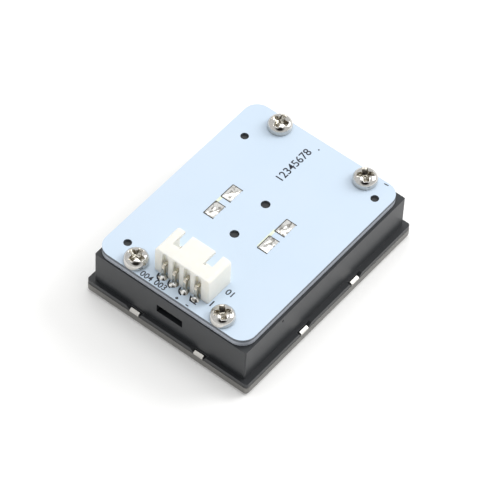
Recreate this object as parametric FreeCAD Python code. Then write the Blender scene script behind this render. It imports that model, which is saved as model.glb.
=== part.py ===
import FreeCAD, Part
import math
import os

from FreeCAD import Vector

# Back-lit push-button module, lying on its front face: +Z points from the key to the board's back.
# The origin is at the middle of the bezel's front face, X runs along the longest side, and every
# size is in millimetres.

os.makedirs("parts", exist_ok=True)

# --- driving dimensions ------------------------------------------------------------------------

# pressed front bezel
bezel_length = 48.5
bezel_width = 37.5
bezel_height = 2.0
bezel_sheet = 0.4
bezel_corner = 0.8
bezel_edge_round = 0.7
tab_width = 2.1
tab_reach = 0.65
tab_spacing = 14.9
tab_slope_run = 0.5
tab_slope_fall = 0.25

# moulded housing
flange_inset = 0.1
flange_thickness = 1.05
flange_corner = 0.6
body_length = 46.6
body_width = 34.9
body_height = 7.5
body_corner = 0.25
wall = 1.5
boss_radius = 2.1
screw_spacing_x = 41.4
screw_spacing_y = 19.9
clip_slot_width = 5.9
clip_slot_height = 1.85
clip_slot_level = 2.85
gate_mark_radius = 0.25
gate_mark_depth = 0.6
gate_mark_from_corner = 10.6
gate_mark_below_top = 0.95

# circuit board
board_length = 46.0
board_width = 34.5
board_thickness = 1.6
board_corner = 3.0
board_shift_y = 0.4
screw_hole_radius = 1.75
peg_hole_radius = 0.8
peg_places = [(14.7, 13.1), (-18.5, 13.4), (18.5, -14.3)]

# screws
screw_head_radius = 2.4
screw_head_height = 1.9
screw_shank_radius = 1.1
screw_length = 6.0
screw_tip_clear = 0.8
screw_head_edge = 0.6
cross_width = 0.9
cross_length = 3.4
cross_depth = 1.15

# four-way side-entry header
pin_count = 4
pin_pitch = 2.5
pin_side = 0.64
header_depth = 6.35
header_height = 6.1
header_side = 2.45
header_wall = 0.7
header_from_edge = 2.65
header_shift_y = -0.25
header_tail_depth = 1.5
key_slot_near = 2.6
key_slot_far = 4.35
key_slot_depth = 3.65
niche_roof = 0.15
niche_depth = 0.8
niche_back_wall = 1.2
header_edge_round = 0.25
header_end_round = 0.8
pin_end_recess = 1.1
solder_height = 0.75
solder_foot_radius = 0.6

# tactile switch under the key
switch_side = 12.0
switch_chamfer = 0.4
switch_cover_inset = 0.1
switch_cover_thickness = 0.3
rivet_radius = 0.55
rivet_inset = 1.2
switch_height = 3.5
switch_stem_radius = 3.4
switch_stem_proud = 0.8
stem_edge_round = 0.25
switch_travel = 0.3
stem_collar_height = 0.7
stem_collar_reach = 0.8
recess_depth_from_board = 1.1
dome_sheet = 0.12
terminal_spacing_x = 5.0
terminal_spacing_y = 12.5
switch_peg_spacing = 9.0
switch_peg_radius = 0.82
terminal_width = 0.8
terminal_thickness = 0.3
terminal_from_board = 1.6
pad_length = 3.35
pad_width = 2.1
pad_height = 0.22

# key
key_length = 40.0
key_width = 29.0
key_corner = 1.3
key_recess = 0.25
key_rim = 2.0
key_plate_thickness = 0.8
key_tape = 0.15
key_block_length = 35.0
key_lip_thickness = 0.8
key_lip_overlap = 0.9
key_travel = 0.7
key_edge_round = 0.3
plate_edge_round = 0.2
tape_inset = 0.5

# return springs
spring_place_x = 14.5
spring_place_y = 7.0
spring_radius = 1.5
spring_wire = 0.36
spring_turns = 5
spring_post_height = 2.0

# light-emitting diodes and their resistors
led_size = (3.5, 2.8, 1.9)
led_place_x = 9.5
led_place_y = 11.5
led_well_radius = 1.18
led_well_floor_radius = 0.84
led_well_depth = 0.76
resistor_size = (2.0, 1.25, 0.5)
resistor_edge_round = 0.08
resistor_place_x = 10.5
resistor_place_y = 2.0

# clearances
key_gap = 0.2
press_gap = 0.05
loose_gap = 0.1
slide_gap = 0.08
peg_clear = 0.08
hair_gap = 0.03

# --- levels, from the front face backwards -----------------------------------------------------

flange_z = bezel_height
body_z = flange_z + flange_thickness
board_z = body_z + body_height
board_back = board_z + board_thickness

# --- shapes used again and again ---------------------------------------------------------------


def block(x_low, x_high, y_low, y_high, z_low, z_high):
    """A box between two corners."""
    corner = Vector(x_low, y_low, z_low)
    return Part.makeBox(x_high - x_low, y_high - y_low, z_high - z_low, corner)


def centred_block(x, y, length, width, z_low, z_high):
    """A box centred over one point."""
    return block(x - length / 2, x + length / 2, y - width / 2, y + width / 2, z_low, z_high)


def rod(x, y, radius, z_low, z_high):
    """An upright cylinder."""
    return Part.makeCylinder(radius, z_high - z_low, Vector(x, y, z_low))


def plate(length, width, corner, z_low, z_high, y=0.0):
    """An upright prism with a rounded rectangle as its outline."""
    solid = centred_block(0, y, length, width, z_low, z_high)
    uprights = [edge for edge in solid.Edges if abs(edge.tangentAt(edge.FirstParameter).z) > 0.99]
    return solid.makeFillet(corner, uprights)


def edges_at(solid, level):
    """The edges that lie wholly in one level plane."""
    return [edge for edge in solid.Edges
            if abs(edge.BoundBox.ZMin - level) < 1e-6 and abs(edge.BoundBox.ZMax - level) < 1e-6]


def corners(spacing_x, spacing_y):
    """The four corners of a centred rectangle."""
    return [(sx * spacing_x / 2, sy * spacing_y / 2) for sx in (-1, 1) for sy in (-1, 1)]


def join(solids):
    """One clean solid from several that touch or overlap."""
    return solids[0].fuse(solids[1:]).removeSplitter()


def save(name, shape):
    """Check one sub-part and write it as a STEP file."""
    if not shape.isValid() or shape.Volume <= 0:
        raise ValueError(name + " is not a sound solid")
    shape.exportStep(os.path.join("parts", name + ".step"))


# --- front bezel: pressed steel pan whose tabs are crimped over the housing's flange ------------

opening_length = key_length + 2 * key_gap
opening_width = key_width + 2 * key_gap
opening_corner = key_corner + key_gap
notch_floor = flange_z + 0.3 * flange_thickness
tab_top = notch_floor + bezel_sheet


def along_edges(half_length, half_width):
    """Places of the crimp tabs: the middle of each tab, and the way out of the edge there."""
    places = []
    for side in (-1, 1):
        for step in (-0.5, 0.5):
            places.append((side * half_length, step * tab_spacing, side, 0))
            places.append((step * tab_spacing, side * half_width, 0, side))
    return places


def edge_block(place, inward, width, z_low, z_high):
    """A box along one edge, reaching `inward` from it."""
    x, y, out_x, out_y = place
    length = inward if out_x else width
    breadth = inward if out_y else width
    return centred_block(x - out_x * inward / 2, y - out_y * inward / 2, length, breadth,
                         z_low, z_high)


def edge_prism(place, section, width):
    """A prism along one edge; the section is a list of (distance in from the edge, level)."""
    x, y, out_x, out_y = place
    along = Vector(abs(out_y) * width, abs(out_x) * width, 0)
    points = [Vector(x - out_x * inward, y - out_y * inward, level) - along / 2
              for inward, level in section]
    return Part.Face(Part.makePolygon(points + [points[0]])).extrude(along)


pan = plate(bezel_length, bezel_width, bezel_corner, 0, bezel_height)
pan = pan.makeFillet(min(bezel_edge_round, 0.9 * bezel_corner), edges_at(pan, 0))
pan = pan.cut(plate(bezel_length - 2 * bezel_sheet, bezel_width - 2 * bezel_sheet,
                    bezel_corner - bezel_sheet, bezel_edge_round, bezel_height))
pan = pan.cut(plate(bezel_length - 2 * bezel_edge_round, bezel_width - 2 * bezel_edge_round,
                    bezel_corner, bezel_sheet, bezel_edge_round))
pan = pan.cut(plate(opening_length, opening_width, opening_corner, 0, bezel_sheet))
tab_places = along_edges(bezel_length / 2, bezel_width / 2)
# a tab stands on the rim and is folded in over the notch's floor; its outer face slopes
tab_section = [(0, bezel_height), (0, tab_top - tab_slope_fall), (tab_slope_run, tab_top),
               (tab_reach, tab_top), (tab_reach, notch_floor), (bezel_sheet, notch_floor),
               (bezel_sheet, bezel_height)]
tabs = [edge_prism(place, tab_section, tab_width) for place in tab_places]
save("front_bezel", join([pan] + tabs))

# --- housing: black moulded box, open at the back, with the key's window in its front -----------

flange_length = bezel_length - 2 * flange_inset
flange_width = bezel_width - 2 * flange_inset
cavity_length = body_length - 2 * wall
cavity_width = body_width - 2 * wall
board_places = [(x, y + board_shift_y) for x, y in peg_places]
screw_places = corners(screw_spacing_x, screw_spacing_y)
peg_radius = peg_hole_radius - peg_clear
peg_top = board_z + 0.7 * board_thickness
pillar_side = 2 * (peg_radius + 0.8)
pillar_bottom = board_z - 0.5 * body_height
spigot_gap = press_gap

# the spigot fills the pan in two steps: above the pan's rounded edge it is as wide as the pan
spigot_low = plate(bezel_length - 2 * bezel_edge_round - 2 * spigot_gap,
                   bezel_width - 2 * bezel_edge_round - 2 * spigot_gap,
                   bezel_corner, bezel_sheet, bezel_edge_round)
spigot_high = plate(bezel_length - 2 * bezel_sheet - 2 * spigot_gap,
                    bezel_width - 2 * bezel_sheet - 2 * spigot_gap,
                    bezel_corner - bezel_sheet, bezel_edge_round, flange_z)
flange = plate(flange_length, flange_width, flange_corner, flange_z, body_z)
box = plate(body_length, body_width, body_corner, body_z, board_z)
box = box.cut(centred_block(0, 0, cavity_length, cavity_width, body_z, board_z))
inner_room = centred_block(0, 0, body_length - wall, body_width - wall, body_z, board_z)
posts = [rod(x, y, boss_radius, body_z, board_z).common(inner_room) for x, y in screw_places]
pillars = []
for x, y in board_places:
    wall_y = math.copysign(body_width / 2 - wall / 2, y)
    inner_y = y - math.copysign(pillar_side / 2, y)
    pillars.append(block(x - pillar_side / 2, x + pillar_side / 2,
                         min(wall_y, inner_y), max(wall_y, inner_y), pillar_bottom, board_z))
    pillars.append(rod(x, y, peg_radius, board_z, peg_top))
clip_low = body_z + clip_slot_level
housing = join([spigot_low, spigot_high, flange, box] + posts + pillars)
window = plate(opening_length, opening_width, opening_corner, bezel_sheet, body_z)
cuts = [window]
for place in tab_places:
    notch_width = tab_width + 2 * loose_gap
    cuts.append(edge_block(place, bezel_sheet + spigot_gap, notch_width, flange_z, body_z))
    cuts.append(edge_block(place, tab_reach + loose_gap, notch_width, notch_floor, body_z))
    # the notch's ends slope, so that the crimping tool can reach the tab
    x, y, out_x, out_y = place
    wedge_reach = tab_reach + loose_gap
    for side in (-1, 1):
        start = notch_width / 2
        depth = body_z - notch_floor
        profile = [(start, notch_floor), (start + depth, body_z), (start, body_z)]
        points = []
        for along, level in profile:
            px = x + (0 if out_x else side * along)
            py = y + (0 if out_y else side * along)
            points.append(Vector(px, py, level))
        face = Part.Face(Part.makePolygon(points + [points[0]]))
        cuts.append(face.extrude(Vector(-out_x * wedge_reach, -out_y * wedge_reach, 0)))
for side in (-1, 1):
    cuts.append(centred_block(side * (body_length - wall) / 2, 0, 2 * wall, clip_slot_width,
                              clip_low, clip_low + clip_slot_height))
for x, y in screw_places:
    cuts.append(rod(x, y, screw_shank_radius + press_gap, board_z - screw_length, board_z))
cuts.append(Part.makeCylinder(gate_mark_radius, gate_mark_depth,
                              Vector(gate_mark_from_corner - body_length / 2, -body_width / 2,
                                     board_z - gate_mark_below_top), Vector(0, 1, 0)))
save("housing", housing.cut(cuts))

# --- circuit board -----------------------------------------------------------------------------

board = plate(board_length, board_width, board_corner, board_z, board_back, board_shift_y)
pin_x = header_from_edge - board_length / 2
pin_places = [(pin_x, board_shift_y + header_shift_y + (pin_count - 1 - 2 * i) * pin_pitch / 2)
              for i in range(pin_count)]
pin_hole_radius = pin_side * math.sqrt(0.5) + 2 * hair_gap
terminal_places = [(x, y + board_shift_y) for x, y in corners(terminal_spacing_x, terminal_spacing_y)]
switch_y = board_shift_y
holes = []
for x, y in screw_places:
    holes.append(rod(x, y, screw_hole_radius, board_z, board_back))
for x, y in board_places:
    holes.append(rod(x, y, peg_hole_radius, board_z, board_back))
for side in (-1, 1):
    holes.append(rod(side * switch_peg_spacing / 2, switch_y, switch_peg_radius + peg_clear,
                     board_z, board_back))
for x, y in pin_places:
    holes.append(rod(x, y, pin_hole_radius, board_z, board_back))
for x, y in terminal_places:
    holes.append(rod(x, y, terminal_width / 2 + loose_gap, board_z, board_back))
save("circuit_board", board.cut(holes))

# --- pan-head screws ---------------------------------------------------------------------------


def board_screw(x, y):
    """A pan-head screw with a cross recess, standing on the board's back."""
    rim = Vector(screw_head_radius, 0, screw_head_edge)
    crown = Vector(0, 0, screw_head_height)
    dome = screw_head_height - screw_head_edge
    middle = Vector(0.72 * screw_head_radius, 0, screw_head_edge + 0.75 * dome)
    tip = screw_tip_clear - screw_length - board_thickness
    outline = [
        Part.LineSegment(Vector(0, 0, tip), Vector(0.35 * screw_shank_radius, 0, tip)),
        Part.LineSegment(Vector(0.35 * screw_shank_radius, 0, tip),
                         Vector(screw_shank_radius, 0, tip + screw_shank_radius)),
        Part.LineSegment(Vector(screw_shank_radius, 0, tip + screw_shank_radius),
                         Vector(screw_shank_radius, 0, 0)),
        Part.LineSegment(Vector(screw_shank_radius, 0, 0), Vector(screw_head_radius, 0, 0)),
        Part.LineSegment(Vector(screw_head_radius, 0, 0), rim),
        Part.Arc(rim, middle, crown),
        Part.LineSegment(crown, Vector(0, 0, tip)),
    ]
    wire = Part.Wire([piece.toShape() for piece in outline])
    solid = Part.Face(wire).revolve(Vector(0, 0, 0), Vector(0, 0, 1), 360)
    low = screw_head_height - cross_depth
    high = 2 * screw_head_height
    cross = centred_block(0, 0, cross_length, cross_width, low, high)
    cross = cross.fuse(centred_block(0, 0, cross_width, cross_length, low, high))
    cross = cross.common(Part.makeCone(cross_width / 2, cross_length / 2 + cross_depth / 3,
                                       2 * cross_depth, Vector(0, 0, low)))
    solid = solid.cut(cross)
    solid.translate(Vector(x, y, board_back))
    return solid


for number, (x, y) in enumerate(screw_places, 1):
    save("board_screw_%d" % number, board_screw(x, y))

# --- header: moulded nylon shroud, four bent pins and their solder -------------------------------

header_middle_y = board_shift_y + header_shift_y
header_width = (pin_count - 1) * pin_pitch + 2 * header_side
header_rear = pin_x + pin_side / 2 + hair_gap
header_front = header_rear + header_depth
niche_width = 0.6 * pin_pitch
niche_floor = header_rear + niche_depth
socket_rear = niche_floor + niche_back_wall
pin_level = board_back + 0.51 * header_height
socket_low = board_back + 1.6 * header_wall
socket_high = board_back + header_height - header_wall
shroud = block(header_rear, header_front, header_middle_y - header_width / 2,
               header_middle_y + header_width / 2, board_back, board_back + header_height)
top_edges = edges_at(shroud, board_back + header_height)
shroud = shroud.makeFillet(header_end_round, [edge for edge in top_edges if edge.BoundBox.YLength < 1e-6])
rear_edges = [edge for edge in shroud.Edges if abs(edge.BoundBox.XMax - header_rear) < 1e-6
              and edge.BoundBox.ZMax > board_back + 1e-6]
shroud = shroud.makeFillet(header_edge_round, rear_edges)
room = [block(socket_rear, header_front, header_middle_y - header_width / 2 + header_wall,
              header_middle_y + header_width / 2 - header_wall, socket_low, socket_high)]
for side in (-1, 1):
    edges = sorted([header_middle_y + side * key_slot_near, header_middle_y + side * key_slot_far])
    room.append(block(header_front - key_slot_depth, header_front, edges[0], edges[1],
                      socket_high, board_back + header_height))
for x, y in pin_places:
    arch = board_back + header_height - niche_roof - niche_width / 2
    room.append(block(header_rear, niche_floor, y - niche_width / 2, y + niche_width / 2,
                      board_back, arch))
    room.append(Part.makeCylinder(niche_width / 2, niche_floor - header_rear,
                                  Vector(header_rear, y, arch), Vector(1, 0, 0)))
    room.append(centred_block((niche_floor + socket_rear) / 2, y, socket_rear - niche_floor,
                              pin_side, pin_level - pin_side / 2, pin_level + pin_side / 2))
save("header_housing", shroud.cut(room))

pin_end = header_front - pin_end_recess


def header_pin(x, y):
    """A square pin: level through the shroud, then bent down into the board."""
    half = pin_side / 2
    level = block(x - half, pin_end, y - half, y + half, pin_level - half, pin_level + half)
    tip = [edge for edge in level.Edges if abs(edge.BoundBox.XMin - pin_end) < 1e-6]
    level = level.makeChamfer(0.3 * half, tip)
    tail = centred_block(x, y, pin_side, pin_side, board_z - header_tail_depth, pin_level)
    pin = join([level, tail])
    outer = [edge for edge in pin.Edges
             if abs(edge.BoundBox.XMax - (x - half)) < 1e-6
             and abs(edge.BoundBox.ZMin - (pin_level + half)) < 1e-6
             and abs(edge.BoundBox.ZMax - (pin_level + half)) < 1e-6]
    return pin.makeFillet(0.8 * pin_side, outer)


solders = []
for number, (x, y) in enumerate(pin_places, 1):
    pin = header_pin(x, y)
    save("header_pin_%d" % number, pin)
    for base, way in ((board_back, 1), (board_z, -1)):
        cone = Part.makeCone(solder_foot_radius, 0.7 * pin_side, solder_height,
                             Vector(x, y, base), Vector(0, 0, way))
        solders.append(cone.cut(pin))
save("header_solder", Part.makeCompound(solders))

# --- tactile switch: base with pegs, steel cover, stem, snap dome and terminals -------------------

switch_front = board_z - switch_height
base_front = switch_front + switch_cover_thickness
recess_floor = board_z - recess_depth_from_board
stem_front = switch_front - switch_stem_proud
collar_radius = switch_stem_radius + stem_collar_reach
recess_radius = collar_radius + 3 * loose_gap
collar_front = base_front + slide_gap
collar_back = collar_front + stem_collar_height
rivet_places = [(x, y + switch_y) for x, y in corners(switch_side - 2 * rivet_inset,
                                                      switch_side - 2 * rivet_inset)]

base = centred_block(0, switch_y, switch_side, switch_side, base_front, board_z)
base = base.makeChamfer(switch_chamfer, [edge for edge in base.Edges
                              if abs(edge.tangentAt(edge.FirstParameter).z) > 0.99])
base = base.cut(rod(0, switch_y, recess_radius, base_front, recess_floor))
pegs = [rod(side * switch_peg_spacing / 2, switch_y, switch_peg_radius, board_z,
            board_back - 0.3 * board_thickness) for side in (-1, 1)]
rivets = [rod(x, y, rivet_radius, switch_front, base_front) for x, y in rivet_places]
save("switch_base", join([base] + pegs + rivets))

cover_side = switch_side - 2 * switch_cover_inset
cover = centred_block(0, switch_y, cover_side, cover_side, switch_front, base_front)
cover = cover.cut([rod(0, switch_y, switch_stem_radius + 2 * slide_gap, switch_front, base_front)]
                  + rivets)
save("switch_cover", cover)

stem = rod(0, switch_y, switch_stem_radius, stem_front, collar_back)
stem = stem.makeFillet(stem_edge_round, edges_at(stem, stem_front))
collar = rod(0, switch_y, collar_radius, collar_front, collar_back)
save("switch_stem", join([stem, collar]))

# the dome is a thin spherical cap that stands on the recess's floor and touches the stem
dome_rim = 0.85 * recess_radius
dome_rise = recess_floor - collar_back - hair_gap
ball = (dome_rim ** 2 + dome_rise ** 2) / (2 * dome_rise)
centre_z = recess_floor - dome_rise + ball
shell = Part.makeSphere(ball, Vector(0, switch_y, centre_z))
shell = shell.cut(Part.makeSphere(ball - dome_sheet, Vector(0, switch_y, centre_z)))
dome = shell.common(rod(0, switch_y, dome_rim, collar_back, recess_floor))
save("switch_dome", dome)

terminal_level = board_z - terminal_from_board
terminals = []
for number, (x, y) in enumerate(terminal_places, 1):
    out = math.copysign(1, y - switch_y)
    face_y = switch_y + out * switch_side / 2
    near = y - out * terminal_thickness / 2
    far = y + out * terminal_thickness / 2
    leg = block(x - terminal_width / 2, x + terminal_width / 2, min(near, far), max(near, far),
                terminal_level, board_back + 0.6 * pad_height)
    arm = block(x - terminal_width / 2, x + terminal_width / 2, min(face_y, far), max(face_y, far),
                terminal_level - terminal_thickness, terminal_level)
    terminal = join([leg, arm])
    terminals.append(terminal)
    save("switch_terminal_%d" % number, terminal)

pads = []
for (x, y), terminal in zip(terminal_places, terminals):
    pad = centred_block(x, y, pad_length, pad_width, board_back, board_back + pad_height)
    rim = [edge for edge in pad.Edges if edge.BoundBox.ZMin > board_back + 1e-6]
    pads.append(pad.makeFillet(0.8 * pad_height, rim).cut(terminal))
save("switch_solder", Part.makeCompound(pads))

# --- parts on the board's front: four diodes and two resistors --------------------------------------

led_places = [(x, y + board_shift_y) for x, y in corners(2 * led_place_x, 2 * led_place_y)]
for number, (x, y) in enumerate(led_places, 1):
    length, width, height = led_size
    led = centred_block(x, y, length, width, board_z - height, board_z)
    well = Part.makeCone(led_well_radius, led_well_floor_radius, led_well_depth,
                         Vector(x, y, board_z - height))
    save("led_body_%d" % number, led.cut(well))
    save("led_lens_%d" % number, well)

for number, side in enumerate((-1, 1), 1):
    length, width, height = resistor_size
    x = side * resistor_place_x
    resistor = centred_block(x, resistor_place_y + board_shift_y, length, width,
                             board_z - height, board_z)
    front_edges = edges_at(resistor, board_z - height)
    save("resistor_%d" % number, resistor.makeFillet(resistor_edge_round, front_edges))

# --- key: milky light frame with a steel face plate stuck into it ------------------------------------

frame_front = key_recess + loose_gap
plate_back = key_recess + key_plate_thickness
tape_back = plate_back + key_tape
rim_back = body_z - key_travel - loose_gap
block_back = body_z + press_gap + key_lip_thickness
window_width = key_width + 2 * key_gap
plunger_end = stem_front - (key_travel - switch_travel) - press_gap
lip_width = window_width + 2 * key_lip_overlap
plate_length = key_length - 2 * key_rim
plate_width = key_width - 2 * key_rim
plate_corner = 0.6 * key_corner

frame = plate(key_length, key_width, key_corner, frame_front, rim_back)
frame = frame.makeFillet(key_edge_round, edges_at(frame, frame_front))
core = centred_block(0, 0, key_block_length, key_width, rim_back, block_back)
lips = centred_block(0, 0, 0.8 * key_block_length, lip_width, body_z + press_gap, block_back)
plunger = rod(0, 0, 0.75 * switch_stem_radius, block_back, plunger_end)
spring_places = corners(2 * spring_place_x, 2 * spring_place_y)
post_radius = spring_radius - spring_wire / 2 - 2 * loose_gap
spring_posts = [rod(x, y, post_radius, block_back, block_back + spring_post_height)
                for x, y in spring_places]
light_frame = join([frame, core, lips, plunger] + spring_posts)
light_frame = light_frame.cut(plate(plate_length, plate_width, plate_corner, frame_front, tape_back))
save("light_frame", light_frame)

face_plate = plate(plate_length - 2 * press_gap, plate_width - 2 * press_gap, plate_corner,
                   key_recess, plate_back)
face_plate = face_plate.makeFillet(plate_edge_round, edges_at(face_plate, key_recess))
save("key_face_plate", face_plate)
save("key_tape", plate(plate_length - 2 * tape_inset, plate_width - 2 * tape_inset, plate_corner,
                       plate_back, tape_back))

# --- return springs between the key and the board ----------------------------------------------------

spring_low = block_back + spring_wire / 2
spring_high = board_z - spring_wire / 2
spring_pitch = (spring_high - spring_low) / spring_turns
wire_flats = 8


def coil_spring(x, y):
    """A helix swept by an eight-sided section, which is light and closes cleanly."""
    helix = Part.Wire(Part.makeHelix(spring_pitch, spring_high - spring_low, spring_radius))
    reach = spring_wire / 2
    ring = [Vector(spring_radius + reach * math.cos(2 * math.pi * i / wire_flats), 0,
                   reach * math.sin(2 * math.pi * i / wire_flats)) for i in range(wire_flats)]
    section = Part.makePolygon(ring + [ring[0]])
    spring = helix.makePipeShell([section], True, True)
    spring.translate(Vector(x, y, spring_low))
    return spring


for number, (x, y) in enumerate(spring_places, 1):
    save("return_spring_%d" % number, coil_spring(x, y))
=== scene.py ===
import math

import bmesh
import bpy
import numpy as np
from mathutils import Matrix, Vector


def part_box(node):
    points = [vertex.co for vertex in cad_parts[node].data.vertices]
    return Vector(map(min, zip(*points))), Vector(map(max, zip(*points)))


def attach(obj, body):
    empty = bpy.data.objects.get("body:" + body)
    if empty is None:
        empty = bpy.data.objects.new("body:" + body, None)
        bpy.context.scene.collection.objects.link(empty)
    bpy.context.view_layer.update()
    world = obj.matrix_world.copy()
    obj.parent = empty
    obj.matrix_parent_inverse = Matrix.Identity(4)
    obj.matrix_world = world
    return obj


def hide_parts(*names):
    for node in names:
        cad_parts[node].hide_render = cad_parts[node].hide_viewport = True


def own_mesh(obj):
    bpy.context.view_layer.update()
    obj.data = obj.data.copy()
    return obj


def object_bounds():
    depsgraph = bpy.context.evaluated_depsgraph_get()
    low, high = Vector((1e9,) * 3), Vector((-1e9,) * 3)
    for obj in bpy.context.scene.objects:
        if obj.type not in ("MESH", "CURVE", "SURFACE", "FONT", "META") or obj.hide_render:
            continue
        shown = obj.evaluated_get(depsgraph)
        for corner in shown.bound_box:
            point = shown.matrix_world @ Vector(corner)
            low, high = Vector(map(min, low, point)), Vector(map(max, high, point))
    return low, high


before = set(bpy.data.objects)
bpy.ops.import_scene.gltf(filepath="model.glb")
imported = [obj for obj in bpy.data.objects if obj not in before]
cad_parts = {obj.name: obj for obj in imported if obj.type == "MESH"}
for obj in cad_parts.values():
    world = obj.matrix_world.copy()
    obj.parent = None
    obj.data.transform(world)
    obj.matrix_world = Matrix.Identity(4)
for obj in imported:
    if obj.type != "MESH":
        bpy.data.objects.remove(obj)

# --- Studio ------------------------------------------------------------------------------------
# A white paper sweep, two soft boxes and a bright white room. One part of the room, a cone in a
# fixed direction, is left unlit, which gives bright metal something dark to reflect.

cad_low, cad_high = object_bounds()
MM = 0.001


def linear(code):
    """A hex sRGB colour as the linear RGBA of a shader: each channel through the sRGB curve."""
    parts = [int(code[i:i + 2], 16) / 255 for i in (1, 3, 5)]
    curve = [p / 12.92 if p <= 0.04045 else ((p + 0.055) / 1.055) ** 2.4 for p in parts]
    return curve + [1.0]


def add_node(tree, kind, inputs=None, **settings):
    """Add one node. Settings are its properties; inputs are numbers, or sockets to link in."""
    made = tree.nodes.new("ShaderNode" + kind)
    for name, value in settings.items():
        setattr(made, name, value)
    for name, value in (inputs or {}).items():
        if isinstance(value, bpy.types.NodeSocket):
            tree.links.new(value, made.inputs[name])
        else:
            made.inputs[name].default_value = value
    return made


def new_material(name, **sockets):
    """A material with a Principled shader, whose sockets are named with _ for a space."""
    material = bpy.data.materials.new(name)
    material.use_nodes = True
    tree = material.node_tree
    shader = tree.nodes["Principled BSDF"]
    for socket, value in sockets.items():
        shader.inputs[socket.replace("_", " ")].default_value = value
    place = add_node(tree, "TexCoord").outputs["Object"]
    return material, tree, shader, place


def per_mm(size):
    """The noise scale that gives features of this many millimetres."""
    return 1.0 / (size * MM)


# seamless white paper: very fine pulp that only just breaks the white
paper, tree, shader, place = new_material("white_paper", Base_Color=linear("#f2f2f1"),
                                          Roughness=0.85, Specular_IOR_Level=0.1,
                                          Emission_Color=linear("#ffffff"), Emission_Strength=0.16)
pulp = add_node(tree, "TexNoise", {"Vector": place, "Scale": per_mm(0.6), "Detail": 3.0})
grain = add_node(tree, "Bump", {"Height": pulp.outputs["Fac"], "Strength": 0.05,
                                "Distance": 0.02 * MM})
tree.links.new(grain.outputs["Normal"], shader.inputs["Normal"])

SWEEP = 1500.0 * MM
corner_list = [(-SWEEP, -SWEEP, 0), (SWEEP, -SWEEP, 0), (SWEEP, SWEEP, 0), (-SWEEP, SWEEP, 0)]
floor_mesh = bpy.data.meshes.new("floor")
floor_mesh.from_pydata([(x, y, cad_low.z) for x, y, z in corner_list], [], [(0, 1, 2, 3)])
floor_mesh.materials.append(paper)
floor = bpy.data.objects.new("floor", floor_mesh)
bpy.context.scene.collection.objects.link(floor)

# the room: white all round, and dark inside a cone about the direction that the lens looks from.
# CONE_DARK and CONE_LIT are cosines of the angle off its axis where the dark ends and white begins
AZIMUTH = math.radians(-53.768)
ELEVATION = math.radians(51.625)
ROLL = math.radians(3.224)
CONE_DARK, CONE_LIT = 0.97, 0.76
ROOM_LEVEL = 0.82
back = Vector((math.sin(AZIMUTH) * math.cos(ELEVATION), -math.cos(AZIMUTH) * math.cos(ELEVATION),
               math.sin(ELEVATION)))
world = bpy.data.worlds.new("studio")
world.use_nodes = True
bpy.context.scene.world = world
tree = world.node_tree
way = add_node(tree, "TexCoord").outputs["Generated"]
toward = add_node(tree, "VectorMath", {0: way, 1: back}, operation="DOT_PRODUCT")
lit = add_node(tree, "MapRange", {"Value": toward.outputs["Value"], "From Min": CONE_DARK,
                                  "From Max": CONE_LIT}, interpolation_type="SMOOTHSTEP")
room = add_node(tree, "Mix", {"Factor": lit.outputs["Result"], "A": linear("#26221f"),
                              "B": linear("#ffffff")}, data_type="RGBA")
tree.links.new(room.outputs["Result"], tree.nodes["Background"].inputs["Color"])
tree.nodes["Background"].inputs["Strength"].default_value = ROOM_LEVEL


def soft_box(name, place, target, size, power):
    """A rectangular soft light at a place, turned to face a target; millimetres and watts."""
    data = bpy.data.lights.new(name, "AREA")
    data.shape = "RECTANGLE"
    data.size, data.size_y = size[0] * MM, size[1] * MM
    data.energy = power
    light = bpy.data.objects.new(name, data)
    light.location = Vector(place) * MM
    light.rotation_mode = "QUATERNION"
    light.rotation_quaternion = (Vector(place) - Vector(target)).to_track_quat("Z", "Y")
    bpy.context.scene.collection.objects.link(light)


soft_box("overhead_box", (150, 60, 900), (0, 0, 0), (700, 500), 2.6)
soft_box("side_box", (620, -330, 480), (0, 0, 0), (450, 450), 3.4)

# the lens is a long one, a little over 0.6 m away
DISTANCE = 626.98
TARGET = Vector((-1.012, -0.712, 5.0))
LENS, SENSOR = 247.4, 36.0
right = Vector((math.cos(AZIMUTH), math.sin(AZIMUTH), 0))
up = back.cross(right)
turned_right = math.cos(ROLL) * right + math.sin(ROLL) * up
turned_up = math.cos(ROLL) * up - math.sin(ROLL) * right
camera_data = bpy.data.cameras.new("camera")
camera_data.lens = LENS
camera_data.sensor_width = SENSOR
camera_data.clip_start = 10 * MM
camera = bpy.data.objects.new("camera", camera_data)
camera.matrix_world = Matrix.Translation((TARGET + DISTANCE * back) * MM) @ Matrix(
    (turned_right, turned_up, back)).transposed().to_4x4()
bpy.context.scene.collection.objects.link(camera)
bpy.context.scene.camera = camera
bpy.context.scene.view_settings.view_transform = "Standard"

# --- Housing -----------------------------------------------------------------------------------
# One injection moulding in black ABS: a square box with a flange that the bezel is crimped to.
# The tool's faces are spark-eroded, so the walls are an even satin, and each edge has a tiny round.

MERGE = 0.002 * MM
FLAT = math.radians(1)
SHARP = math.radians(30)


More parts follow.
